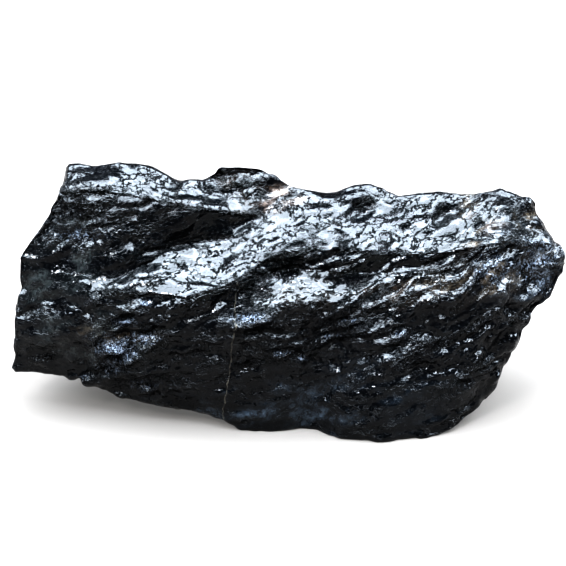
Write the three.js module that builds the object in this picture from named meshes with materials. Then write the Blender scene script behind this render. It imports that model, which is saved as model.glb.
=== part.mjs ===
// Morion quartz: a rough, smoky-black lump of massive quartz that rests on its broken base.
// Millimetres. +X runs along the stone, its main broken face looks to -Y, and +Z is up.
import * as THREE from 'three';
import { LoftGeometry } from 'three/addons/geometries/LoftGeometry.js';

const { lerp, clamp, degToRad } = THREE.MathUtils;

// Driving dimensions.
const STONE_LENGTH = 125;
const GRAIN_RISE = degToRad(14); // how steeply the fracture ledges climb to the right
const GRAIN_CURVE = 0.0042; // how fast they steepen over the upper right
const CURVE_END = 45; // how far along X they stop steepening
const CURVE_HEIGHT = 35; // the height up the face where they steepen fully
const FACE_LEAN = degToRad(30); // how far the main face as a whole leans back
const END_BULGE = 0.8; // how far the middle of each broken end stands out
const BROAD_SWELL = 1.0; // heights of the kinds of relief, on the slopes that lie back and on the walls
const SCOOP_DEPTH = 0.9;
const LEDGE_ON_SLOPE = 0.35;
const LEDGE_ON_WALL = 0.8;
const CHIP_ON_SLOPE = 0.35;
const CHIP_ON_WALL = 0.6;
const CRUMBLE_ON_END = 1.1;
const CRUMBLE_STARTS = 40; // how far along X the right end turns crumbly

// The long edges and hollows of the stone, from its left end to its right end, as [x, y, z].
// They are listed in the order in which a section meets them, from the top down the main face.
const FEATURE_LINES = {
  crown: [
    [-49, 7, 55.9], [-46.5, 7, 56.9], [-37.5, 6, 57.9], [-30.5, 6, 56.4], [-24, 5, 53.4],
    [-18.5, 5, 53.9], [-14.5, 6, 57.4], [-5.5, 6, 56.9], [2.5, 5, 52.4], [10, 6, 50.4], [19.5, 7, 51.9],
    [26, 6, 49.4], [49, 5, 51.4], [55.5, 2, 49.4],
  ],
  crownFoot: [
    [-49.3, 3.8, 55.5], [-46, 3, 56.6], [-39, 1.8, 56.9], [-29.5, 2.6, 54.3], [-24, 2, 52.4],
    [-21, 1.7, 52], [-17, 2.5, 50.7], [-13, 2.6, 50.6], [-5, 2.3, 50.5], [0, 2.6, 51], [10, 3.5, 49.7],
    [19.5, 4, 49.8], [26, 3.5, 48.2], [37, 2.8, 48.9], [49, 2, 50], [57, 0.5, 47],
  ],
  upperLip: [
    [-50, -0.8, 54.2], [-40.5, -3.4, 55.3], [-35, -2.8, 54.2], [-28.5, -2, 52.3], [-19.5, -2, 50.1],
    [-9, -0.7, 47.7], [-4.5, 0, 47.3], [3.5, 0, 49.3], [14.5, 1, 47.8], [26, 1, 46.8], [37, 0, 47.3],
    [48.5, -1, 48.3], [58.5, -1, 44.3],
  ],
  stepFoot: [
    [-59.5, -5, 39.5], [-51, -7, 36.7], [-40.5, -10.9, 35.1], [-30.5, -6.8, 38.5], [-27, -4.5, 41],
    [-19.5, -3, 42], [-13, -3, 42.2], [-9, -3.4, 43.3], [-4.5, -4, 44.8], [0, -4.6, 45.8],
    [3.5, -5, 46.5], [14.5, -3.7, 45.2], [26, -5, 43.5], [37, -5, 43.5], [48.5, -6, 45], [61.5, -3, 41],
  ],
  middleLip: [
    [-60, -6, 32], [-51, -9, 32.8], [-40.5, -12.2, 32.9], [-30.5, -14.4, 35.9], [-22.5, -17, 35.5],
    [-14, -14.8, 37.1], [-10, -13, 38.6], [-7, -11.5, 40.2], [-4, -10, 41.7], [0, -9.3, 42.8],
    [3.5, -9, 43.1], [13.5, -7.5, 42.2], [26, -8.3, 41.7], [37, -8.5, 42.8], [49.5, -7, 44.5],
    [62.5, -4, 37],
  ],
  middleFoot: [
    [-60.5, -7, 27], [-51, -10, 29.1], [-40.5, -13.7, 31.5], [-30.5, -16, 33], [-22.5, -17, 32],
    [-10, -14, 34], [-4, -10.8, 38], [3.5, -9.7, 38.7], [13.5, -8.5, 37.3], [25, -9.3, 37.5],
    [37, -9.5, 39.4], [49.5, -8, 41.2], [60, -6, 31.5],
  ],
  shoulder: [
    [-61.5, -8, 20.5], [-51, -11.3, 23.8], [-40.5, -14, 25], [-30.5, -16.5, 26], [-19.5, -17.5, 26],
    [-12, -18, 29], [-5.5, -18, 31.5], [0, -17.8, 34], [5, -17.4, 34.3], [10, -15.5, 33.2],
    [17, -14.6, 31], [26, -14.6, 32], [32, -13.8, 32.4], [37, -14, 34], [44, -13, 33], [49.5, -12, 34.4],
    [56.5, -7, 27],
  ],
  frontFoot: [
    [-62.5, -7, 10.5], [-54.5, -8, 10], [-47.5, -9, 9.5], [-40, -10.5, 6], [-30, -12.5, 5],
    [-19.5, -14.5, 3], [-14, -16, 2.5], [-10.5, -16.5, 0], [-3.5, -16.5, 0], [3.5, -15, 0], [7.5, -16, 0],
    [12.5, -20.5, 0], [21, -21, 0], [28.5, -20, 0], [35, -19, 0], [40, -17, 1.5], [46.5, -11, 4.5],
  ],
  keel: [[-58, 2, 13], [-40, 1, 8], [-16, 0, -2], [0, 0, -3], [30, 0, -3], [38, 0, -1], [44, 0, 6]],
  backFoot: [[-55, 15, 18], [-35, 18, 8], [-10, 18, -1], [25, 19, -1], [38, 15, 4], [47, 9, 12]],
  backBelly: [[-53, 18, 32], [-30, 22, 26], [5, 21, 24], [35, 20, 22], [56, 8, 26]],
  backBrow: [[-49, 15, 49], [-20, 17, 46], [10, 16, 42], [40, 15, 42], [56, 6, 44]],
};
// Faces across the stretch that follows each line, in the same order.
const STEPS_AFTER_LINE = [2, 3, 6, 5, 3, 4, 12, 8, 7, 8, 7, 5];
const SECTIONS = 56;
const END_SECTIONS = 5;

/** A fixed random number from 0 to 1 for each cell of a cubic lattice. */
function random(i, j, k, seed) {
  let h = (Math.imul(i, 374761393) + Math.imul(j, 668265263)
    + Math.imul(k, 1440662683) + Math.imul(seed, 1013904223)) >>> 0;
  h = Math.imul(h ^ (h >>> 15), 2246822519) >>> 0;
  h = Math.imul(h ^ (h >>> 13), 3266489917) >>> 0;
  return ((h ^ (h >>> 16)) >>> 0) / 4294967296;
}

/** The offsets from a cell to itself and the cells around it, or to its far corners. */
function offsets(from, to) {
  const all = [];
  for (let i = from; i <= to; i += 1) {
    for (let j = from; j <= to; j += 1) {
      for (let k = from; k <= to; k += 1) {
        all.push([i, j, k]);
      }
    }
  }
  return all;
}
const CORNERS = offsets(0, 1);
const NEIGHBOURS = offsets(-1, 1);

/** Smooth noise from -1 to 1: lattice values eased into each other. */
function noise(p, seed) {
  const cell = p.clone().floor();
  const ease = p.clone().sub(cell).toArray().map((f) => f * f * f * (f * (f * 6 - 15) + 10));
  let total = 0;
  for (const corner of CORNERS) {
    const weight = corner.reduce((w, far, axis) => w * (far ? ease[axis] : 1 - ease[axis]), 1);
    total += weight * random(cell.x + corner[0], cell.y + corner[1], cell.z + corner[2], seed);
  }
  return total * 2 - 1;
}

/** Noise with finer and fainter noise on it; each layer is half as wide and half as high. */
function layeredNoise(p, seed, layers) {
  let total = 0;
  let reach = 0;
  for (let layer = 0; layer < layers; layer += 1) {
    const finer = p.clone().multiplyScalar(2 ** layer).addScalar(17.3 * layer);
    total += 0.5 ** layer * noise(finer, seed + layer);
    reach += 0.5 ** layer;
  }
  return total / reach;
}

/**
 * Broken chips: each point takes the tilted plane, or the bowl, of the nearest scattered seed,
 * and ramps over to the next one across a narrow border.
 */
function chips(p, seed, border, bowl) {
  const cell = p.clone().floor();
  const near = NEIGHBOURS.map((offset) => {
    const [i, j, k] = [cell.x + offset[0], cell.y + offset[1], cell.z + offset[2]];
    const scatter = (axis) => 0.5 + 0.95 * (random(i, j, k, seed + axis) - 0.5);
    const away = p.clone().sub(new THREE.Vector3(i + scatter(0), j + scatter(1), k + scatter(2)));
    const tilt = new THREE.Vector3(...[3, 4, 5].map((n) => random(i, j, k, seed + n) * 2 - 1));
    const lift = 0.6 * (random(i, j, k, seed + 6) - 0.5);
    return { distance: away.length(), height: away.dot(tilt) + bowl * away.lengthSq() + lift };
  });
  const nearest = Math.min(...near.map((chip) => chip.distance));
  let total = 0;
  let weights = 0;
  for (const { distance, height } of near) {
    const weight = clamp(1 - (distance - nearest) / border, 0, 1) ** 2;
    total += weight * height;
    weights += weight;
  }
  return total / weights;
}

/**
 * Ledges: a wandering phase runs across the grain, and within each of its turns the face leans
 * out over the riser and then draws back over the tread, which is the given share of the turn.
 */
function ledges(p, spacing, tread, seed) {
  const stretched = p.clone().divide(new THREE.Vector3(24, spacing * 1.8, spacing * 1.8));
  const wander = 0.9 * layeredNoise(stretched, seed, 3)
    + 0.25 * layeredNoise(stretched.clone().multiplyScalar(3.1), seed + 9, 2);
  const phase = p.y / spacing + 2.2 * wander;
  const share = phase - Math.floor(phase);
  return (share < 1 - tread ? share / (1 - tread) : (1 - share) / tread) - 0.5;
}

/**
 * The point as distances along the grain, across it, and out from the leaning main face.
 * A parabola over the right half bends the grain up, more and more towards the top of the face.
 */
function alongGrain(point) {
  const rise = point.y * Math.sin(FACE_LEAN) + point.z * Math.cos(FACE_LEAN);
  const up = rise - GRAIN_CURVE * clamp(rise / CURVE_HEIGHT, 0, 1) * clamp(point.x, 0, CURVE_END) ** 2;
  const out = -point.y * Math.cos(FACE_LEAN) + point.z * Math.sin(FACE_LEAN);
  return new THREE.Vector3(
    point.x * Math.cos(GRAIN_RISE) + up * Math.sin(GRAIN_RISE),
    -point.x * Math.sin(GRAIN_RISE) + up * Math.cos(GRAIN_RISE),
    out,
  );
}

/**
 * How far the broken surface stands out from the smooth form at a point that faces outward.
 * Slopes that lie back broke smoother than the walls between them.
 */
function reliefHeight(point, outward) {
  const grain = alongGrain(point);
  const warp = new THREE.Vector3(
    3 * layeredNoise(grain.clone().divideScalar(9), 101, 2),
    1.8 * layeredNoise(grain.clone().divideScalar(7), 202, 2),
    1.8 * layeredNoise(grain.clone().divideScalar(7), 303, 2),
  );
  const warped = grain.clone().add(warp);
  const scaled = (p, along, across, out) => p.clone().divide(new THREE.Vector3(along, across, out));
  const slope = clamp((outward.z - 0.7) / 0.12, 0, 1);
  const crumble = CRUMBLE_ON_END * clamp((point.x - CRUMBLE_STARTS) / 10, 0, 1);
  return BROAD_SWELL * layeredNoise(scaled(grain, 22, 13, 13), 11, 2)
    + SCOOP_DEPTH * chips(scaled(warped, 15, 8.5, 9), 71, 0.3, 0.8)
    + slope * LEDGE_ON_SLOPE * ledges(warped, 6, 0.7, 21)
    + (1 - slope) * LEDGE_ON_WALL * ledges(warped, 6, 0.3, 21)
    + lerp(CHIP_ON_WALL, CHIP_ON_SLOPE, slope) * chips(scaled(warped, 7.5, 3.4, 4), 31, 0.2, 0)
    + crumble * chips(scaled(warped, 5.5, 4.5, 4.5), 91, 0.35, 0);
}

/** Where a feature line is when it has run a share of its own length along X. */
function pointOnLine(points, share) {
  const x = lerp(points[0][0], points.at(-1)[0], share);
  const next = Math.max(1, points.findIndex((point) => point[0] >= x - 1e-9));
  const [before, after] = [points[next - 1], points[next]];
  const part = (x - before[0]) / (after[0] - before[0]);
  return new THREE.Vector3(x, lerp(before[1], after[1], part), lerp(before[2], after[2], part));
}

/** A closed section through all the feature lines. */
function section(share) {
  const corners = Object.values(FEATURE_LINES).map((points) => pointOnLine(points, share));
  return STEPS_AFTER_LINE.flatMap((steps, line) => {
    const next = corners[(line + 1) % corners.length];
    return Array.from({ length: steps }, (_, step) => corners[line].clone().lerp(next, step / steps));
  });
}

/**
 * The sections of a broken end: the last full section drawn in towards its middle and bulged.
 * The smaller it gets, the nearer it comes to the oval that its width and height make.
 */
function endSections(ring, direction) {
  const middle = ring.reduce((sum, point) => sum.add(point), new THREE.Vector3()).divideScalar(ring.length);
  const aways = ring.map((point) => point.clone().sub(middle));
  const half = new THREE.Box3().setFromPoints(aways).getSize(new THREE.Vector3()).divideScalar(2);
  const facing = aways
    .reduce((sum, away, n) => sum.add(aways.at(n - 1).clone().cross(away)), new THREE.Vector3())
    .setLength(direction * END_BULGE);
  return Array.from({ length: END_SECTIONS }, (_, n) => {
    const size = 1 - (n + 1) / (END_SECTIONS + 1);
    return aways.map((away) => {
      const toOval = 1 / Math.hypot(away.y / half.y, away.z / half.z);
      return middle.clone()
        .addScaledVector(away, size * lerp(toOval, 1, size))
        .addScaledVector(facing, 1 - size * size);
    });
  });
}

/**
 * All sections with the relief raised on them, along the normals of the smooth form.
 * It fades out towards the middle of the two broken ends.
 */
function breakSurface(rings) {
  return rings.map((ring, r) => ring.map((point, n) => {
    const before = rings[Math.max(r - 1, 0)][n];
    const after = rings[Math.min(r + 1, rings.length - 1)][n];
    const around = ring[(n + 1) % ring.length].clone().sub(ring.at(n - 1));
    const outward = around.cross(after.clone().sub(before)).normalize();
    const fromTip = Math.min(r, rings.length - 1 - r);
    const fade = clamp((fromTip - 1) / (END_SECTIONS - 1), 0, 1);
    return point.clone().addScaledVector(outward, fade * reliefHeight(point, outward));
  }));
}

/** The finished surface: at its real length, centred, and ground flat where it rests. */
function settle(rings) {
  const box = new THREE.Box3().setFromPoints(rings.flat());
  const scale = STONE_LENGTH / (box.max.x - box.min.x);
  const middle = box.getCenter(new THREE.Vector3()).setZ(0);
  return rings.map((ring) => ring.map((point) => {
    const settled = point.clone().sub(middle).multiplyScalar(scale);
    return settled.setZ(Math.max(settled.z, 0));
  }));
}

function stoneGeometry() {
  const body = Array.from({ length: SECTIONS }, (_, n) => section(n / (SECTIONS - 1)));
  const rings = [
    ...endSections(body[0], -1).reverse(),
    ...body,
    ...endSections(body.at(-1), 1),
  ];
  return new LoftGeometry(settle(breakSurface(rings)), { capStart: true, capEnd: true });
}

// Near-black smoky quartz with glassy fracture faces.
const morionQuartz = new THREE.MeshStandardMaterial({
  color: 0x1b1d21,
  roughness: 0.25,
  metalness: 0,
  flatShading: true,
});

const stone = new THREE.Mesh(stoneGeometry(), morionQuartz);
stone.name = 'morion_quartz';

const part = new THREE.Group();
part.add(stone);

export default part;
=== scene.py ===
"""Morion quartz: the finished look of a rough, smoky-black lump of massive quartz, built round its
solid."""

import math
from functools import partial

import bpy
import numpy as np
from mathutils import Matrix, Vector


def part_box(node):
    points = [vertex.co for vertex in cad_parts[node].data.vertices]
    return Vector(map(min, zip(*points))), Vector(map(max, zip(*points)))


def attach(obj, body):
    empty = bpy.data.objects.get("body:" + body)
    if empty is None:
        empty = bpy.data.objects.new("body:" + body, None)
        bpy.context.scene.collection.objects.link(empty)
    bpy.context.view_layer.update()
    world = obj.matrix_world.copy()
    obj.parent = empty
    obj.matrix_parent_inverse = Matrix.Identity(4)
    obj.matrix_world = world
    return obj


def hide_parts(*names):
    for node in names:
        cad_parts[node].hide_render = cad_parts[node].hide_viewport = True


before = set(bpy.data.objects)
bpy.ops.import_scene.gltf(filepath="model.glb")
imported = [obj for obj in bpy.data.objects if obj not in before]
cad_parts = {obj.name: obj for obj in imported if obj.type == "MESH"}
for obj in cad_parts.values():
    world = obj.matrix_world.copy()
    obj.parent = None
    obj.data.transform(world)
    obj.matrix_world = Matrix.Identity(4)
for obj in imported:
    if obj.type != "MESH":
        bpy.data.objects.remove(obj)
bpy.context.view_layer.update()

MM = 0.001

# ---------------------------------------------------------------- the stone's form, in millimetres

# The long edges and hollows of the stone, left end to right end, as (x, y, z). They are listed in the order
# in which a section meets them, from the top down the main face.
FEATURE_LINES = {
    "crown": [
        (-49, 7, 55.9), (-46.5, 7, 56.9), (-37.5, 6, 57.9), (-30.5, 6, 56.4), (-24, 5, 53.4),
        (-18.5, 5, 53.9), (-14.5, 6, 57.4), (-5.5, 6, 56.9), (2.5, 5, 52.4), (10, 6, 50.4), (19.5, 7, 51.9),
        (26, 6, 49.4), (49, 5, 51.4), (55.5, 2, 49.4),
    ],
    "crown_foot": [
        (-49.3, 3.8, 55.5), (-46, 3, 56.6), (-39, 1.8, 56.9), (-29.5, 2.6, 54.3), (-24, 2, 52.4),
        (-21, 1.7, 52), (-17, 2.5, 50.7), (-13, 2.6, 50.6), (-5, 2.3, 50.5), (0, 2.6, 51),
        (10, 3.5, 49.7), (19.5, 4, 49.8), (26, 3.5, 48.2), (37, 2.8, 48.9), (49, 2, 50), (57, 0.5, 47),
    ],
    "upper_lip": [
        (-50, -0.8, 54.2), (-40.5, -3.4, 55.3), (-35, -2.8, 54.2), (-28.5, -2, 52.3), (-19.5, -2, 50.1),
        (-9, -0.7, 47.7), (-4.5, 0, 47.3), (3.5, 0, 49.3), (14.5, 1, 47.8), (26, 1, 46.8), (37, 0, 47.3),
        (48.5, -1, 48.3), (58.5, -1, 44.3),
    ],
    "step_foot": [
        (-59.5, -5, 39.5), (-51, -7, 36.7), (-40.5, -10.9, 35.1), (-30.5, -6.8, 38.5), (-27, -4.5, 41),
        (-19.5, -3, 42), (-13, -3, 42.2), (-9, -3.4, 43.3), (-4.5, -4, 44.8), (0, -4.6, 45.8),
        (3.5, -5, 46.5), (14.5, -3.7, 45.2), (26, -5, 43.5), (37, -5, 43.5), (48.5, -6, 45), (61.5, -3, 41),
    ],
    "middle_lip": [
        (-60, -6, 32), (-51, -9, 32.8), (-40.5, -12.2, 32.9), (-30.5, -14.4, 35.9), (-22.5, -17, 35.5),
        (-14, -14.8, 37.1), (-10, -13, 38.6), (-7, -11.5, 40.2), (-4, -10, 41.7), (0, -9.3, 42.8),
        (3.5, -9, 43.1), (13.5, -7.5, 42.2), (26, -8.3, 41.7), (37, -8.5, 42.8), (49.5, -7, 44.5),
        (62.5, -4, 37),
    ],
    "middle_foot": [
        (-60.5, -7, 27), (-51, -10, 29.1), (-40.5, -13.7, 31.5), (-30.5, -16, 33), (-22.5, -17, 32),
        (-10, -14, 34), (-4, -10.8, 38), (3.5, -9.7, 38.7), (13.5, -8.5, 37.3), (25, -9.3, 37.5),
        (37, -9.5, 39.4), (49.5, -8, 41.2), (60, -6, 31.5),
    ],
    "shoulder": [
        (-61.5, -8, 20.5), (-51, -11.3, 23.8), (-40.5, -14, 25), (-30.5, -16.5, 26), (-19.5, -17.5, 26),
        (-12, -18, 29), (-5.5, -18, 31.5), (0, -17.8, 34), (5, -17.4, 34.3), (10, -15.5, 33.2),
        (17, -14.6, 31), (26, -14.6, 32), (32, -13.8, 32.4), (37, -14, 34), (44, -13, 33), (49.5, -12, 34.4),
        (56.5, -7, 27),
    ],
    "front_foot": [
        (-62.5, -7, 10.5), (-54.5, -8, 10), (-47.5, -9, 9.5), (-40, -10.5, 6), (-30, -12.5, 5),
        (-19.5, -14.5, 3), (-14, -16, 2.5), (-10.5, -16.5, 0), (-3.5, -16.5, 0), (3.5, -15, 0),
        (7.5, -16, 0), (12.5, -20.5, 0), (21, -21, 0), (28.5, -20, 0), (35, -19, 0), (40, -17, 1.5),
        (46.5, -11, 4.5),
    ],
    "keel": [(-58, 2, 13), (-40, 1, 8), (-16, 0, -2), (0, 0, -3), (30, 0, -3), (38, 0, -1), (44, 0, 6)],
    "back_foot": [(-55, 15, 18), (-35, 18, 8), (-10, 18, -1), (25, 19, -1), (38, 15, 4), (47, 9, 12)],
    "back_belly": [(-53, 18, 32), (-30, 22, 26), (5, 21, 24), (35, 20, 22), (56, 8, 26)],
    "back_brow": [(-49, 15, 49), (-20, 17, 46), (10, 16, 42), (40, 15, 42), (56, 6, 44)],
}
LINE_NAMES = list(FEATURE_LINES)
FRONT_FOOT = LINE_NAMES.index("front_foot")

FACE_LEAN = math.radians(30)  # how far the main face as a whole leans back
GRAIN_RISE = math.radians(14)  # how steeply the fracture ledges climb to the right
GRAIN_CURVE = 0.0042  # how fast they steepen over the upper right
CURVE_END = 45  # how far along X they stop steepening
CURVE_HEIGHT = 35  # the height up the face where they steepen fully
END_BULGE = 0.8  # how far the middle of each broken end stands out

RINGS = 384  # grid steps along the stone
FRONT_STEPS = 172  # grid steps down the main face
HIDDEN_STEPS = 68  # grid steps round the base and the back
END_RINGS = 14  # grid steps across each broken end

# How high each kind of relief stands, in millimetres. Slopes lie back, walls are the steep faces between
# them, and quiet walls are those that broke smooth.
BROAD_SWELL = 1.0
SCOOP_DEPTH = 0.9
LEDGE_ON_SLOPE = 0.35
LEDGE_ON_WALL = 0.8
LEDGE_ON_QUIET_WALL = 0.1
CHIP_ON_SLOPE = 0.30
CHIP_ADDED_ON_WALL = 0.35
STEP_ON_WALL = 0.45
STEP_ON_BENCH = 0.25
FLAKE_ON_WALL = 0.28
BLOCK_ON_END = 1.1
CRUMB_HEIGHT = 0.75

# How large each kind is along the grain, across it and out of the face, in millimetres.
SWELL_SIZE = (22, 13, 13)
SCOOP_SIZE = (15, 8.5, 9)
CHIP_SIZE = (7.5, 3.4, 4)
FLAKE_SIZE = (2.8, 1.5, 1.6)
BLOCK_SIZE = (5.5, 4.5, 4.5)
CRUMB_SIZE = (2.6, 2.2, 2.2)
STEP_PATCH_SIZE = (7, 2.4, 2.4)
FLAKY_PATCH_SIZE = (9, 5, 5)
LEDGE_SPACING, LEDGE_LENGTH = 6, 24
STEP_SPACING, STEP_LENGTH = 2.8, 10

# The share of each ledge or step that is its tread.
SLOPE_TREAD = 0.7
WALL_TREAD = 0.3
STEP_TREAD = 0.4

SLOPE_STARTS, SLOPE_FULL = 0.70, 0.82  # the upward share of a normal between which a wall turns into a slope
STEEP_STARTS, STEEP_FULL = 0.60, 0.45  # and between which it turns into a steep wall
CRUMBLE_STARTS, CRUMBLE_FULL = 40, 50  # how far along X the right end turns crumbly
BENCH_RISE = 0.3  # how steeply a bench climbs to the right
BEND_REACH = (3, 1.8, 1.8)  # how far noise bends the grain, in the same three directions
RAGGED_REACH = 0.5  # and how far a finer noise frays it
BODY_SMOOTHING = 3  # smoothing passes over the form before it broke rough
RELIEF_SMOOTHING = 2  # and over the relief


# ---------------------------------------------------------------- where the main face broke how

# Each row is a soft patch: x, height up the leaning face, half width and half height, in millimetres, and a
# strength.

# Broken in deep steps that catch the light.
STEPPED_PLACES = [
    (-43.0, 41.5, 10.0, 4.0, 1.0), (-47.0, 35.0, 5.0, 2.0, 0.7), (-20.0, 7.0, 6.0, 5.0, 0.3),
    (-3.0, 13.0, 10.0, 5.0, 0.3), (-54.0, 12.0, 5.0, 3.0, 0.5), (-26.0, 3.0, 4.0, 2.0, 0.6),
    (-8.0, 17.7, 6.0, 2.0, 1.0), (-36.0, 16.8, 4.0, 1.6, 0.9), (-37.5, 10.5, 6.0, 3.5, 1.0),
    (-30.0, 13.0, 3.5, 2.2, 0.9), (-38.0, 6.5, 5.0, 2.5, 0.8), (-31.0, 2.5, 4.0, 2.0, 0.6),
    (14.0, 16.0, 8.0, 3.0, 0.7), (26.0, 14.3, 3.0, 2.0, 0.7), (2.0, 9.5, 7.0, 2.0, 0.7),
]

# Broken into crumbs.
CRUMBLY_PLACES = [
    (-47.0, 48.5, 6.0, 3.0, 0.6), (-10.5, 47.5, 4.5, 2.5, 1.0), (17.0, 42.5, 2.2, 4.0, 0.9),
    (35.5, 42.5, 2.0, 3.5, 0.9), (24.0, 45.5, 6.0, 2.0, 0.6), (45.0, 38.0, 5.0, 6.0, 0.4),
    (3.0, 25.0, 6.0, 4.0, 0.5),
]

# Broken smooth, without fine relief.
SMOOTH_PLACES = [
    (-19.0, 38.8, 19.0, 4.6, 1.2), (2.0, -4.0, 26.0, 7.0, 1.0), (30.0, -2.0, 14.0, 6.0, 0.6),
    (-50.0, 12.0, 6.0, 4.0, 0.3), (-16.0, 14.0, 7.0, 7.0, 0.3), (-43.0, 29.0, 13.0, 4.5, 1.0),
    (-47.0, 23.0, 12.0, 5.0, 1.0), (-51.0, 15.5, 9.0, 2.5, 0.9), (-53.0, 29.0, 5.0, 3.0, 0.9),
]

# Painted highlights: pale streaks painted into the colour where the faces show bright reflections, mostly on
# the benches and on the right end.
PAINTED_HIGHLIGHT_PLACES = [
    (-36.0, 16.8, 3.2, 0.9, 0.7), (-39.0, 11.6, 5.0, 2.4, 0.6), (-35.5, 9.5, 3.5, 2.0, 0.5),
    (-31.0, 13.2, 3.0, 1.3, 0.6), (-39.5, 6.5, 3.5, 1.8, 0.6), (-32.0, 2.5, 3.5, 1.5, 0.4),
    (-46.0, 4.2, 1.8, 0.9, 0.5), (-8.0, 17.7, 4.5, 1.1, 0.7), (25.8, 14.3, 1.6, 0.9, 0.5),
    (3.3, 8.7, 0.9, 0.6, 0.7), (14.5, 17.0, 2.8, 0.5, 0.5), (10.0, 13.6, 2.2, 0.6, 0.6),
    (-1.2, 9.8, 2.4, 0.7, 0.6), (-46.0, 36.0, 5.0, 1.4, 0.5), (-31.0, 21.0, 1.6, 0.7, 0.7),
    (46.0, 28.5, 5.0, 4.0, 0.5), (56.5, 29.0, 4.0, 6.5, 0.5),
]

# Benches that stand out of the walls and lie back far enough to catch the light: x, height up the face,
# half length along the grain, half height, and how far they stand out for each millimetre of half height.
# Where that is less than nothing, a short wall drops through a slope instead.
BENCHES = [
    (-8.0, 17.7, 4.6, 1.3, 2.6), (-36.0, 16.8, 2.6, 0.9, 3.0), (-38.5, 12.0, 4.2, 1.4, 3.0),
    (-36.5, 9.0, 3.4, 1.2, 3.0), (-30.5, 13.2, 2.8, 1.1, 3.0), (-38.5, 6.2, 3.2, 1.1, 3.0),
    (-31.5, 2.2, 2.6, 0.8, 3.0), (-46.0, 4.2, 1.8, 0.8, 2.8), (25.8, 14.3, 1.8, 0.8, 2.2),
    (3.3, 8.7, 1.1, 0.7, 2.2), (14.5, 17.0, 2.6, 0.6, 2.2), (10.0, 13.6, 2.0, 0.6, 2.2),
    (-1.2, 9.8, 2.6, 0.8, 2.4), (-14.0, 21.0, 2.4, 0.8, 2.2), (17.5, 43.6, 2.5, 2.0, -1.0),
    (14.5, 41.0, 1.5, 1.5, -0.9), (35.5, 42.5, 1.8, 1.8, -1.0), (52.0, 40.0, 3.0, 2.0, -1.0),
    (50.5, 34.0, 2.5, 2.0, -0.9), (27.0, 38.5, 1.6, 1.4, -0.8), (-37.5, 22.4, 6.0, 2.6, -0.8),
]

# Veils in the stone and films in its cracks: a colour, the size of the wisps, and soft patches.
VEILS = {
    "grey-green smoke": ("959b98", 3.5, [
        (-46.0, 29.0, 6.0, 3.5, 0.07), (-45.0, 36.5, 5.0, 2.5, 0.10), (-54.0, 24.0, 5.0, 7.0, 0.04),
        (-48.0, 20.0, 9.0, 4.0, 0.035), (-40.0, 12.0, 8.0, 5.0, 0.04), (-50.0, 13.0, 9.0, 5.0, 0.025),
    ]),
    "blue mist": ("4d565f", 3.0, [
        (-2.0, -3.0, 24.0, 6.0, 0.20), (8.0, -6.0, 6.0, 3.5, 0.12), (20.0, 2.0, 20.0, 8.0, 0.03),
    ]),
    "tan clay": ("8f7f6c", 1.6, [
        (46.5, 28.5, 5.0, 4.0, 0.16), (43.0, 34.0, 3.0, 3.5, 0.13), (41.0, 41.0, 2.0, 4.5, 0.12),
        (54.0, 40.0, 5.0, 2.0, 0.10), (-38.0, 13.5, 7.0, 1.5, 0.14), (38.0, 25.0, 10.0, 2.5, 0.10),
        (57.0, 33.0, 3.0, 3.0, 0.06), (-45.5, 15.0, 3.0, 1.2, 0.05),
    ]),
    "ash": ("81868b", 1.6, [
        (56.0, 28.5, 4.5, 7.0, 0.15), (50.0, 23.0, 5.0, 4.0, 0.04), (47.0, 37.0, 4.0, 4.0, 0.09),
    ]),
    "pink skin": ("c9b4a8", 1.6, [
        (1.0, 45.5, 3.5, 2.0, 0.40), (-3.0, 42.5, 2.5, 1.5, 0.16), (43.5, 39.5, 3.5, 2.5, 0.08),
    ]),
    "brown smoke": ("3a2f26", 3.0, [
        (-18.0, 39.0, 14.0, 4.0, 0.10), (-7.0, 46.5, 6.0, 2.5, 0.6), (20.0, 23.0, 20.0, 4.0, 0.2),
    ]),
}


# ---------------------------------------------------------------- noises and ledges

def lattice_random(i, j, k, seed):
    """A fixed number from 0 to 1 for each cell of a cubic lattice: the cell's three indices and the seed,
    each times a large odd number, are added, and the bits of the sum are stirred twice by shifting and
    multiplying."""
    bits = 0xFFFFFFFF
    h = (i * 374761393 + j * 668265263 + k * 1440662683 + seed * 1013904223) & bits
    h = ((h ^ (h >> 15)) * 2246822519) & bits
    h = ((h ^ (h >> 13)) * 3266489917) & bits
    return ((h ^ (h >> 16)) & bits) / (bits + 1)


def noise(p, seed):
    """Smooth noise from -1 to 1: the random numbers of the eight corners around a point, each weighted by
    the product of three eased distances to the opposite corner."""
    cell = np.floor(p)
    part = p - cell
    cell = cell.astype(np.int64)
    ease = part * part * part * (part * (part * 6 - 15) + 10)
    total = 0
    for corner in np.ndindex(2, 2, 2):
        weight = np.prod(np.where(corner, ease, 1 - ease), axis=-1)
        total = total + weight * lattice_random(*np.moveaxis(cell + corner, -1, 0), seed)
    return total * 2 - 1


def layered_noise(p, seed, layers):
    """Noise with finer and fainter noise on it; each layer is half as wide and half as high as the last."""
    shares = 0.5 ** np.arange(layers)
    total = sum(share * noise(p / share + 17.3 * n, seed + n) for n, share in enumerate(shares))
    return total / shares.sum()


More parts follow.
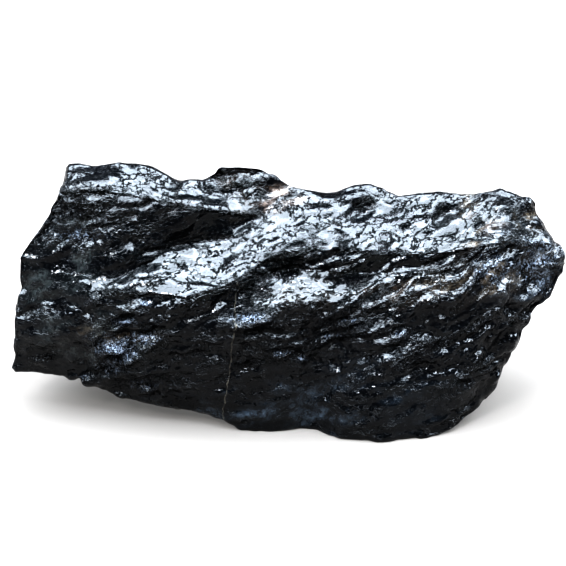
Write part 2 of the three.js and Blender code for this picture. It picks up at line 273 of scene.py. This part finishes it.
def chips(p, seed, border, bowl=0.0):
    """Broken chips: each point takes the height of the nearest scattered seed's tilted plane, lifted by a
    random amount, plus bowl times its squared distance from the seed, and ramps over to the next chip
    across a narrow border."""
    stray, lift = 0.95, 0.6
    cell = np.floor(p).astype(np.int64)
    distances, heights = [], []
    for step in np.ndindex(3, 3, 3):
        near = cell + step - 1
        index = np.moveaxis(near, -1, 0)
        scatter = np.stack([lattice_random(*index, seed + n) for n in range(3)], -1)
        away = p - (near + 0.5 + stray * (scatter - 0.5))
        tilt = np.stack([lattice_random(*index, seed + n) for n in (3, 4, 5)], -1) * 2 - 1
        square = (away * away).sum(-1)
        lifted = lift * (lattice_random(*index, seed + 6) - 0.5)
        distances.append(np.sqrt(square))
        heights.append((away * tilt).sum(-1) + bowl * square + lifted)
    distances = np.array(distances)
    weights = np.clip(1 - (distances - distances.min(0)) / border, 0, 1) ** 2
    return (weights * heights).sum(0) / weights.sum(0)


def ledges(p, spacing, length, tread, seed):
    """Ledges: a phase runs across the grain and wanders by a broad noise and a weak fine one. Within each
    of its turns the face leans out over the riser and then draws back over the tread, which is the given
    share of it."""
    stretched = p / (length, spacing * 1.8, spacing * 1.8)
    broad, fine = layered_noise(stretched, seed, 3), layered_noise(stretched * 3.1, seed + 9, 2)
    phase = p[..., 1] / spacing + 2.2 * (0.9 * broad + 0.25 * fine)
    share = phase - np.floor(phase)
    return np.where(share < 1 - tread, share / (1 - tread), (1 - share) / tread) - 0.5


def ramp(value, start, end):
    """0 up to the start, 1 from the end on, and a straight line between them."""
    return np.clip((value - start) / (end - start), 0, 1)


def places(x, up, table):
    """The sum of soft round patches: each is its strength times e to the minus squared distance from its
    middle, measured in its own half widths."""
    total = 0
    for middle_x, middle_up, half_x, half_up, strength in table:
        total = total + strength * np.exp(-((x - middle_x) / half_x) ** 2 - ((up - middle_up) / half_up) ** 2)
    return total


# ---------------------------------------------------------------- the broken surface

def height_up_face(p):
    """How far up the leaning main face each point lies."""
    return p[..., 1] * math.sin(FACE_LEAN) + p[..., 2] * math.cos(FACE_LEAN)


def along_grain(p):
    """Points as distances along the grain, across it, and out from the leaning main face: two turns of the
    axes, and a parabola over the right half that bends the grain up, more and more towards the top of the
    face."""
    out = -p[..., 1] * math.cos(FACE_LEAN) + p[..., 2] * math.sin(FACE_LEAN)
    up = height_up_face(p)
    up = up - GRAIN_CURVE * np.clip(up / CURVE_HEIGHT, 0, 1) * np.clip(p[..., 0], 0, CURVE_END) ** 2
    along = p[..., 0] * math.cos(GRAIN_RISE) + up * math.sin(GRAIN_RISE)
    across = -p[..., 0] * math.sin(GRAIN_RISE) + up * math.cos(GRAIN_RISE)
    return np.stack([along, across, out], -1)


def band(lane, start, end, soft):
    """1 between two places in the order of the feature lines and 0 outside them, with a ramp of the soft
    width across each."""
    return ramp(lane, start - soft / 2, start + soft / 2) * (1 - ramp(lane, end - soft / 2, end + soft / 2))


def smoothed(grid, passes):
    """Each grid point averaged with its neighbours, with weights 1, 2, 1 in both directions; the two end
    rings keep their place along the stone."""
    for _ in range(passes):
        grid = (np.roll(grid, 1, 1) + 2 * grid + np.roll(grid, -1, 1)) / 4
        grid[1:-1] = (grid[:-2] + 2 * grid[1:-1] + grid[2:]) / 4
    return grid


def smooth_body():
    """The stone before it broke rough. Parameter one is the share t along the stone: every feature line is
    read at the share t of its own length. Parameter two is the lane round the section: 0 on the first line,
    1 on the second and so on, with equal steps of length down the face and equal steps round the back."""
    t = np.linspace(0, 1, RINGS)
    corners = []
    for points in FEATURE_LINES.values():
        x, y, z = np.array(points, float).T
        at = x[0] + (x[-1] - x[0]) * t
        corners.append(np.stack([at, np.interp(at, x, y), np.interp(at, x, z)], -1))
    corners.append(corners[0])
    corners = np.stack(corners, 1)
    lengths = np.linalg.norm(np.diff(corners, axis=1), axis=2)
    rings, lanes = [], []
    for ring, length in zip(corners, lengths):
        front = np.concatenate([[0], np.cumsum(length[:FRONT_FOOT])])
        rest = np.concatenate([[0], np.cumsum(length[FRONT_FOOT:])])
        lane = np.concatenate([
            np.interp(np.linspace(0, front[-1], FRONT_STEPS, endpoint=False), front, np.arange(len(front))),
            np.interp(np.linspace(0, rest[-1], HIDDEN_STEPS, endpoint=False), rest,
                      FRONT_FOOT + np.arange(len(rest))),
        ])
        before = lane.astype(int)
        part = (lane - before)[:, None]
        rings.append(ring[before] * (1 - part) + ring[before + 1] * part)
        lanes.append(lane)
    return smoothed(np.array(rings), BODY_SMOOTHING), np.array(lanes)


def broken_end(ring, direction):
    """A broken end: the last ring drawn in towards its middle and bulged along its facing by 1 minus the
    square of the size. The smaller it gets, the nearer it comes to the oval that its width and height
    make."""
    middle = ring.mean(0)
    away = ring - middle
    half = np.ptp(away, axis=0) / 2
    facing = np.cross(np.roll(away, 1, 0), away).sum(0)
    facing *= direction * END_BULGE / np.linalg.norm(facing)
    size = np.linspace(0, 1, END_RINGS + 1, endpoint=False)[1:, None]
    to_oval = 1 / np.hypot(away[:, 1] / half[1], away[:, 2] / half[2])
    drawn_in = size * (to_oval * (1 - size) + size)
    return middle + facing, middle + drawn_in[..., None] * away + (1 - size ** 2)[..., None] * facing


def outward(grid, first_tip, last_tip):
    """Unit normals: the cross product of the steps to the neighbours round the ring and along the stone."""
    around = np.roll(grid, -1, 1) - np.roll(grid, 1, 1)
    tips = [np.broadcast_to(tip, (1,) + grid.shape[1:]) for tip in (first_tip, last_tip)]
    extended = np.concatenate([tips[0], grid, tips[1]])
    normal = np.cross(around, extended[2:] - extended[:-2])
    return normal / np.linalg.norm(normal, axis=2, keepdims=True)


def benches(p, grain):
    """Each bench is minus the distance across the grain from its middle, times e to the minus square of
    that distance and minus the fourth power of the distance along the grain, both measured in its half
    sizes and made to wander by noise."""
    across_wander = 0.5 * noise(grain / 2.4, 61)
    along_wander = 0.4 * noise(grain / 3, 62)
    total = 0
    for x, up, half_length, half_height, depth in BENCHES:
        right = p[..., 0] - x
        across = (height_up_face(p) - up - right * BENCH_RISE) / half_height + across_wander
        along = right / half_length + along_wander
        total = total - depth * half_height * across * np.exp(-across ** 2 - along ** 4)
    return total


def relief(grid, normal, lane):
    """How far the broken surface stands out from the smooth form: broad swells, shell-shaped scoops,
    benches, coarse ledges and chips, and then fine steps, flakes and crumbs. Each is its height times its
    own pattern on the grain's coordinates, which noise has bent, and all are added up. A pattern's whole
    number is its random seed. Also returned, as shares that the finish reads, are how deep its fine steps
    are, how much of the surface is wall, and how much of it flakes."""
    x, up = grid[..., 0], height_up_face(grid)
    grain = along_grain(grid)
    bend = np.stack([layered_noise(grain / 9, 101, 2), layered_noise(grain / 7, 202, 2),
                     layered_noise(grain / 7, 303, 2)], -1)
    bent = grain + bend * BEND_REACH
    ragged = bent + RAGGED_REACH * np.stack([noise(grain / 2, seed) for seed in (404, 405, 406)], -1)

    wall = 1 - ramp(normal[..., 2], SLOPE_STARTS, SLOPE_FULL)
    steep = ramp(normal[..., 2], STEEP_STARTS, STEEP_FULL)
    lively = np.clip(1 - places(x, up, SMOOTH_PLACES), 0, 1)
    bench = band(lane, LINE_NAMES.index("middle_foot") - 0.4, LINE_NAMES.index("shoulder") + 0.3, 0.5)
    patchy = np.clip(2.6 * layered_noise(grain / STEP_PATCH_SIZE, 77, 2) - 0.25, 0, 1)
    steps = np.clip(wall * patchy + places(x, up, STEPPED_PLACES), 0, 1.4) * lively
    blocky = ramp(x, CRUMBLE_STARTS, CRUMBLE_FULL)
    crumbly = np.clip(blocky + places(x, up, CRUMBLY_PLACES), 0, 1)

    coarse_ledge = LEDGE_ON_QUIET_WALL + LEDGE_ON_WALL * lively
    height = BROAD_SWELL * layered_noise(grain / SWELL_SIZE, 11, 2) + benches(grid, grain)
    height += SCOOP_DEPTH * chips(bent / SCOOP_SIZE, 71, 0.3, bowl=0.8)
    height += LEDGE_ON_SLOPE * (1 - wall) * ledges(bent, LEDGE_SPACING, LEDGE_LENGTH, SLOPE_TREAD, 21)
    height += coarse_ledge * wall * ledges(bent, LEDGE_SPACING, LEDGE_LENGTH, WALL_TREAD, 21)
    height += (CHIP_ON_SLOPE + CHIP_ADDED_ON_WALL * wall * lively) * chips(bent / CHIP_SIZE, 31, 0.2)
    height += ((STEP_ON_WALL * steps * wall + STEP_ON_BENCH * bench)
               * ledges(ragged, STEP_SPACING, STEP_LENGTH, STEP_TREAD, 41))
    height += FLAKE_ON_WALL * wall * lively * chips(ragged / FLAKE_SIZE, 51, 0.3)
    height += BLOCK_ON_END * blocky * chips(bent / BLOCK_SIZE, 91, 0.35)
    height += CRUMB_HEIGHT * crumbly * chips(ragged / CRUMB_SIZE, 95, 0.3)

    flaking = np.clip(0.45 + 1.5 * layered_noise(grain / FLAKY_PATCH_SIZE, 78, 2), 0.15, 1)
    flaking *= 0.15 + 0.85 * lively
    return smoothed(height, RELIEF_SMOOTHING), {
        "steps": steps, "walls": np.clip(steep + 0.3 * crumbly, 0, 1),
        "flaky": np.clip(steep * (flaking + 0.5 * steps) + 0.35 * crumbly, 0, 1.3)}


def fitted(points, lowest, highest):
    """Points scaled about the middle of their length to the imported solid's length, centred over its
    footprint, and ground flat at the height of its base."""
    low, high = points.min(0), points.max(0)
    middle = (low + high) / 2 * (1, 1, 0)
    scale = (highest[0] - lowest[0]) / (high[0] - low[0])
    settled = (points - middle) * scale + ((lowest + highest) / 2) * (1, 1, 0)
    settled[:, 2] = np.maximum(settled[:, 2], lowest[2])
    return settled


def closed_grid(rings, around):
    """Triangles over a grid whose rings close on themselves, with a fan to a tip point at each end."""
    column = np.arange(around)
    following = (column + 1) % around
    start = np.arange(rings - 1)[:, None] * around
    a, b = start + column, start + following
    sides = np.concatenate([np.stack([a, b, b + around], -1), np.stack([a, b + around, a + around], -1)])
    first_tip = rings * around
    last = first_tip - around
    fans = [np.stack([np.full(around, first_tip), following, column], -1),
            np.stack([np.full(around, first_tip + 1), last + column, last + following], -1)]
    return np.concatenate([sides.reshape(-1, 3), *fans])


def veil_colour(points):
    """The colour that the veils add to the black ground: for each kind, its linear colour times its places,
    and times a wispy noise stretched along the grain."""
    grain = along_grain(points)
    total = 0
    for number, (colour, size, table) in enumerate(VEILS.values()):
        seed = 900 + 20 * number
        wisps = np.clip(0.3 + 2.6 * layered_noise(grain / (2 * size, size, size), seed, 3), 0, 2.2)
        amount = places(points[:, 0], height_up_face(points), table) * wisps
        total = total + amount[:, None] * np.array(linear(colour)[:3])
    return total


def stone_surface(name, lowest, highest):
    """The broken stone: the smooth form with its ends closed, and the relief raised along its normals. The
    mesh keeps its place in the grain, the veils' colour, the shares of each kind of breakage and where
    highlights are painted on, for its finish."""
    body, lanes = smooth_body()
    first_tip, first_end = broken_end(body[0], -1)
    last_tip, last_end = broken_end(body[-1], 1)
    grid = np.concatenate([first_end, body, last_end[::-1]])
    lane = np.concatenate([np.repeat(lanes[:1], END_RINGS, 0), lanes, np.repeat(lanes[-1:], END_RINGS, 0)])
    normal = outward(grid, first_tip, last_tip)
    height, shares = relief(grid, normal, lane)
    grid += normal * height[..., None]
    points = np.concatenate([grid.reshape(-1, 3), [first_tip, last_tip]])
    points = fitted(points, lowest, highest)

    mesh = bpy.data.meshes.new(name)
    mesh.from_pydata(points * MM, [], closed_grid(*grid.shape[:2]))
    at_tips = [0, 0]
    shares = {label: np.concatenate([values.ravel(), at_tips]) for label, values in shares.items()}
    # Where pale highlights are painted into the colour.
    shares["painted_highlight"] = places(points[:, 0], height_up_face(points), PAINTED_HIGHLIGHT_PLACES)
    veil = np.concatenate([veil_colour(points), np.ones((len(points), 1))], 1)
    attributes = [("grain", "FLOAT_VECTOR", "vector", along_grain(points))]
    attributes += [(label, "FLOAT", "value", values) for label, values in shares.items()]
    attributes += [("veil", "FLOAT_COLOR", "color", veil)]
    for label, kind, field, values in attributes:
        mesh.attributes.new(label, kind, "POINT").data.foreach_set(field, values.astype(np.float32).ravel())
    return mesh


# ---------------------------------------------------------------- finishes

def linear(colour):
    """A six-digit sRGB hex colour as linear red, green, blue and an alpha of 1."""
    shares = [int(colour[n:n + 2], 16) / 255 for n in (0, 2, 4)]
    return (*(s / 12.92 if s <= 0.04045 else ((s + 0.055) / 1.055) ** 2.4 for s in shares), 1)


def new_material(name):
    """An empty node material, and its tree."""
    material = bpy.data.materials.new(name)
    material.use_nodes = True
    material.node_tree.nodes.clear()
    return material, material.node_tree


def add(tree, kind, *values, inputs=None, **settings):
    """Adds the node that Blender calls ShaderNode and this kind, and sets its settings. Its first inputs
    take the values in their order, and its named inputs theirs, each as a value or a link. Returns the
    node's outputs."""
    node = tree.nodes.new("ShaderNode" + kind)
    for name, value in settings.items():
        setattr(node, name, value)
    for name, value in [*enumerate(values), *(inputs or {}).items()]:
        if isinstance(value, bpy.types.NodeSocket):
            tree.links.new(value, node.inputs[name])
        else:
            node.inputs[name].default_value = value
    return node.outputs


# Sizes of the finish's patterns along the grain, across it and out of the face, in millimetres.
LARGE_FLAKE = (2.8, 1.6, 1.6)
SMALL_FLAKE = (1.0, 0.6, 0.6)
CLOSE_CRACKS = (3.0, 1.7, 2.2)
WIDE_CRACKS = (7.0, 3.2, 3.6)
HACKLE_SPACING, HACKLE_LENGTH, HACKLE_TREAD = 2.4, 7.0, 0.2  # the tread is a share of the spacing

# Depths of its bumps, in metres.
FLAKE_DEPTH = 1.0 * MM
CRACK_DEPTH = 0.48 * MM
HACKLE_DEPTH = 0.40 * MM

VEIN_LEFT = 12.6 * MM  # how far left of the middle the hairline vein meets the base, before it wanders
VEIN_LEAN = 0.1  # how far it leans to the right for each millimetre up
VEIN_WANDER = 3.0 * MM
VEIN_HALF_WIDTH = 0.2 * MM
VEIN_FADES, VEIN_ENDS = 33 * MM, 38 * MM  # the heights at which it starts to fade and is gone


# The stone's patterns read the grain's coordinates, which are in millimetres, so a noise's Scale is how
# many times it turns in one millimetre.

def wandering(tree, place, grain, scale, detail, reach):
    """A place moved about by a noise on the grain: the noise less a half, times the reach in millimetres."""
    colour = add(tree, "TexNoise", inputs={"Vector": grain, "Scale": scale, "Detail": detail})["Color"]
    centred = add(tree, "VectorMath", colour, (0.5,) * 3, operation="SUBTRACT")[0]
    return add(tree, "VectorMath", centred, (reach,) * 3, place, operation="MULTIPLY_ADD")[0]


def flakes(tree, place, size, shift):
    """Tilted flakes of the given size in millimetres: the distance from the nearest seed, dotted with the
    cube of that seed's own random direction, so that most flakes lie nearly flat and a few stand steep."""
    put = partial(add, tree)
    scale = tuple(1 / s for s in size)
    spread = put("VectorMath", place, scale, (shift, 0, shift), operation="MULTIPLY_ADD")[0]
    seed = put("TexVoronoi", inputs={"Vector": spread, "Scale": 1.0})
    away = put("VectorMath", spread, seed["Position"], operation="SUBTRACT")[0]
    lean = put("VectorMath", seed["Color"], (2,) * 3, (-1,) * 3, operation="MULTIPLY_ADD")[0]
    square = put("VectorMath", lean, lean, operation="MULTIPLY")[0]
    cube = put("VectorMath", lean, square, operation="MULTIPLY")[0]
    return put("VectorMath", away, cube, operation="DOT_PRODUCT")["Value"]


def cracks(tree, place, size, width, shift):
    """0 in the cracks between flakes of the given size in millimetres and 1 inside the flakes, with a
    straight ramp over the width, which is a share of a flake. Where a noise is low, the cracks are
    healed."""
    put = partial(add, tree)
    scale = tuple(1 / s for s in size)
    spread = put("VectorMath", place, scale, (0, shift, shift), operation="MULTIPLY_ADD")[0]
    edge = put("TexVoronoi", inputs={"Vector": spread, "Scale": 1.0}, feature="DISTANCE_TO_EDGE")["Distance"]
    inside = put("MapRange", edge, 0.0, width)[0]
    open_noise = put("TexNoise", inputs={"Vector": spread, "Scale": 0.9, "Detail": 1.0})["Fac"]
    is_open = put("MapRange", open_noise, 0.47, 0.56)[0]
    gap = put("Math", 1.0, inside, operation="SUBTRACT")[0]
    open_gap = put("Math", gap, is_open, operation="MULTIPLY")[0]
    return put("Math", 1.0, open_gap, operation="SUBTRACT")[0]


def hackles(tree, place, spacing, length, tread, shift):
    """Fine steps along the grain: the distance across it over the spacing, plus a noise that makes it
    wander, turns from 0 to 1; the height climbs over the riser and falls over the tread, a share of the
    turn."""
    put = partial(add, tree)
    drawn_out = put("VectorMath", place, (1 / length, 1 / spacing, 1 / spacing), operation="MULTIPLY")[0]
    moved = put("VectorMath", drawn_out, (shift,) * 3, operation="ADD")[0]
    wave = put("TexNoise", inputs={"Vector": moved, "Scale": 0.6, "Detail": 2.0})["Fac"]
    across = put("SeparateXYZ", drawn_out)["Y"]
    phase = put("Math", wave, 7.0, across, operation="MULTIPLY_ADD")[0]
    turn = put("Math", phase, operation="FRACT")[0]
    climbing = put("Math", turn, 1 - tread, operation="DIVIDE")[0]
    left_over = put("Math", 1.0, turn, operation="SUBTRACT")[0]
    falling = put("Math", left_over, tread, operation="DIVIDE")[0]
    return put("Math", climbing, falling, operation="MINIMUM")[0]


def broken_normal(tree, bent, ragged, share):
    """Three bumps, one upon another: tilted flakes, mostly on the steep walls; hairline cracks in two
    sizes, which the walls are nearly free of; and fine steps where the surface is stepped."""
    put = partial(add, tree)
    tall_large = put("Math", share["flaky"], 0.5, 0.06, operation="MULTIPLY_ADD")[0]
    large = put("Math", flakes(tree, bent, LARGE_FLAKE, 0), tall_large, operation="MULTIPLY")[0]
    tall_small = put("Math", share["flaky"], 0.36, 0.02, operation="MULTIPLY_ADD")[0]
    small = put("Math", flakes(tree, bent, SMALL_FLAKE, 31), tall_small, operation="MULTIPLY")[0]
    height = put("Math", large, small, operation="ADD")[0]
    flaked = put("Bump", inputs={"Distance": FLAKE_DEPTH, "Height": height})[0]

    close = cracks(tree, ragged, CLOSE_CRACKS, 0.07, 5.5)
    wide = cracks(tree, ragged, WIDE_CRACKS, 0.04, 9.1)
    split = put("Math", close, wide, operation="MULTIPLY")[0]
    off_walls = put("Math", share["walls"], -0.95, 1.0, operation="MULTIPLY_ADD")[0]
    split = put("Math", split, off_walls, operation="MULTIPLY")[0]
    cracked = put("Bump", inputs={"Distance": CRACK_DEPTH, "Height": split, "Normal": flaked})[0]

    fine_steps = hackles(tree, ragged, HACKLE_SPACING, HACKLE_LENGTH, HACKLE_TREAD, 3.3)
    stepped = put("Math", share["steps"], fine_steps, operation="MULTIPLY")[0]
    return put("Bump", inputs={"Distance": HACKLE_DEPTH, "Height": stepped, "Normal": cracked})[0]


def hairline_vein(tree):
    """1 in the middle of a thin vein and 0 outside it. It runs where x equals its lean times the height,
    less its distance to the left and a wandering noise, and it fades out between two heights."""
    put = partial(add, tree)
    place = put("TexCoord")["Object"]
    side = put("SeparateXYZ", place)
    wobble = put("TexNoise", inputs={"Vector": place, "Scale": 0.22 / MM, "Detail": 2.0})["Fac"]
    upright = put("Math", side["Z"], -VEIN_LEAN, side["X"], operation="MULTIPLY_ADD")[0]
    shift = put("Math", wobble, VEIN_WANDER, VEIN_LEFT, operation="MULTIPLY_ADD")[0]
    off_vein = put("Math", upright, shift, operation="ADD")[0]
    distance = put("Math", off_vein, operation="ABSOLUTE")[0]
    line = put("MapRange", distance, 0.0, VEIN_HALF_WIDTH, 1.0, 0.0)[0]
    below = put("MapRange", side["Z"], VEIN_FADES, VEIN_ENDS, 1.0, 0.0)[0]
    return put("Math", line, below, operation="MULTIPLY")[0]


def painted_highlight_share(tree, ragged, painted_highlight):
    """How far a highlight is painted on: a streaky noise, raised where the painted highlight places are, cut
    to a ramp and held to those places."""
    put = partial(add, tree)
    fanned = put("VectorMath", ragged, (0.9, 0.9, 2.6), operation="MULTIPLY")[0]
    streaks = put("TexNoise", inputs={"Vector": fanned, "Scale": 1.3, "Detail": 3.0})["Fac"]
    raised = put("Math", painted_highlight, 0.22, streaks, operation="MULTIPLY_ADD")[0]
    highlight_ramp = put("MapRange", raised, 0.60, 0.74)[0]
    return put("Math", highlight_ramp, painted_highlight, operation="MULTIPLY")[0]


def fractured_morion():
    """Morion, smoky quartz that natural radiation has turned nearly black, with freshly broken faces. The
    body lets no light through at this thickness, so the eye sees a black ground under a clear glassy
    surface. The IOR is quartz's own, and the specular level dulls the faces a little, as thin films on them
    do."""
    material, tree = new_material("fractured_morion")
    put = partial(add, tree)
    labels = ("steps", "walls", "flaky", "painted_highlight")
    share = {label: put("Attribute", attribute_name=label)["Fac"] for label in labels}
    grain = put("Attribute", attribute_name="grain")["Vector"]
    bent = wandering(tree, grain, grain, 0.35, 2.0, 2.5)
    ragged = wandering(tree, bent, grain, 1.4, 2.5, 2.0)

    wisps = put("TexNoise", inputs={"Vector": ragged, "Scale": 0.8, "Detail": 4.0})["Fac"]
    wisps = put("MapRange", wisps, 0.40, 0.66, 0.3, 1.7)[0]
    vein = put("Math", hairline_vein(tree), wisps, operation="MULTIPLY")[0]
    ground = put("Mix", inputs={"Factor": vein, "A": linear("030406"), "B": linear("47433c")},
                 data_type="RGBA")["Result"]
    veil = put("Attribute", attribute_name="veil")["Color"]
    veiled = put("VectorMath", veil, wisps, ground, operation="MULTIPLY_ADD")[0]
    # Painted highlights: a pale bluish grey added to the colour where highlights are painted on.
    colour = put("VectorMath", linear("8f97a4")[:3], painted_highlight_share(tree, ragged, share["painted_highlight"]), veiled,
                 operation="MULTIPLY_ADD")[0]

    patches = put("TexNoise", inputs={"Vector": bent, "Scale": 0.5, "Detail": 3.0})["Fac"]
    roughness = put("MapRange", patches, 0.3, 0.7, 0.05, 0.13)[0]
    shader = put("BsdfPrincipled", inputs={
        "Base Color": colour, "Roughness": roughness, "IOR": 1.544, "Specular IOR Level": 0.34,
        "Normal": broken_normal(tree, bent, ragged, share)})
    put("OutputMaterial", inputs={"Surface": shader[0]})
    return material


def light_table():
    """White matt acrylic of a light table, lit faintly from below, so that shadows on it stay pale. The
    lamps are strong for the black stone's sake, so the tenth of their light that it gives back already
    looks white."""
    material, tree = new_material("light_table")
    shader = add(tree, "BsdfPrincipled", inputs={
        "Base Color": linear("5a5551"), "Roughness": 0.9, "Specular IOR Level": 0.1,
        "Emission Color": linear("fffffd"), "Emission Strength": 0.13})
    add(tree, "OutputMaterial", inputs={"Surface": shader[0]})
    return material


# ---------------------------------------------------------------- the object

scene = bpy.context.scene

low, high = (np.array(corner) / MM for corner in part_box("morion_quartz"))
stone = bpy.data.objects.new("broken_stone", stone_surface("broken_stone", low, high))
stone.data.materials.append(fractured_morion())
scene.collection.objects.link(stone)
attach(stone, "root")
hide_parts("morion_quartz")


# ---------------------------------------------------------------- floor and light, in metres

FLOOR_RADIUS = 3.0
DAYLIGHT = (0.80, 0.90, 1.0)
LAMPLIGHT = (0.90, 0.95, 1.0)

bpy.ops.mesh.primitive_circle_add(vertices=96, radius=FLOOR_RADIUS, fill_type="NGON")
floor = bpy.context.object
floor.name = "floor"
floor.data.materials.append(light_table())

studio = bpy.data.worlds.new("studio")
studio.use_nodes = True
background = studio.node_tree.nodes["Background"]
background.inputs["Color"].default_value = (*LAMPLIGHT, 1)
background.inputs["Strength"].default_value = 0.20
scene.world = studio


def softbox(name, place, faces, width, depth, radiance, colour):
    """A flat light that the camera doesn't see. Its power is its radiance times its area times pi."""
    light = bpy.data.lights.new(name, "AREA")
    light.shape = "RECTANGLE"
    light.size, light.size_y = width, depth
    light.energy = radiance * width * depth * math.pi
    light.color = colour
    lamp = bpy.data.objects.new(name, light)
    lamp.location = place
    lamp.rotation_euler = (Vector(faces) - Vector(place)).to_track_quat("-Z", "Y").to_euler()
    lamp.visible_camera = False
    scene.collection.objects.link(lamp)


softbox("overhead_softbox", place=(0, 0.03, 0.6), faces=(0, 0.03, 0.03), width=1.92, depth=0.72,
        radiance=16, colour=DAYLIGHT)
softbox("bright_strip", place=(0, 0.06, 0.58), faces=(0, 0.06, 0.03), width=1.4, depth=0.12,
        radiance=8, colour=DAYLIGHT)
softbox("front_lamp", place=(-0.45, -0.65, 0.85), faces=(0, 0, 0.02), width=0.22, depth=0.22,
        radiance=60, colour=LAMPLIGHT)


# ---------------------------------------------------------------- camera

PICTURE_SIDE = 566  # the picture's width and height in pixels
STONE_SPAN = 555  # how many of them the stone's length takes up
MIDDLE_COLUMN = 285.5  # the column of the stone's middle
FOOT_ROW = 440  # the row of the stone's lowest edge
FOOT_BELOW_MIDDLE = 10  # how far below the middle of the base that edge shows, in millimetres
LENS = 150
SENSOR_WIDTH = 36
STEP_BACK = 1.035  # the main face is nearer than the stone's middle, and looks too large without it

pixel = (high[0] - low[0]) * MM / STONE_SPAN
aim_right = (PICTURE_SIDE / 2 - MIDDLE_COLUMN) * pixel
aim_up = (FOOT_ROW - PICTURE_SIDE / 2) * pixel - FOOT_BELOW_MIDDLE * MM
distance = PICTURE_SIDE * pixel * LENS / SENSOR_WIDTH * STEP_BACK

camera = bpy.data.objects.new("camera", bpy.data.cameras.new("camera"))
camera.data.lens = LENS
camera.data.sensor_width = SENSOR_WIDTH
aim = Vector((aim_right, aim_up * math.sin(FACE_LEAN), aim_up * math.cos(FACE_LEAN)))
camera.location = aim + Vector((0, -math.cos(FACE_LEAN), math.sin(FACE_LEAN))) * distance
camera.rotation_euler = (math.pi / 2 - FACE_LEAN, 0, 0)
scene.collection.objects.link(camera)
scene.camera = camera

scene.view_settings.view_transform = "Standard"
scene.view_settings.look = "Very High Contrast"
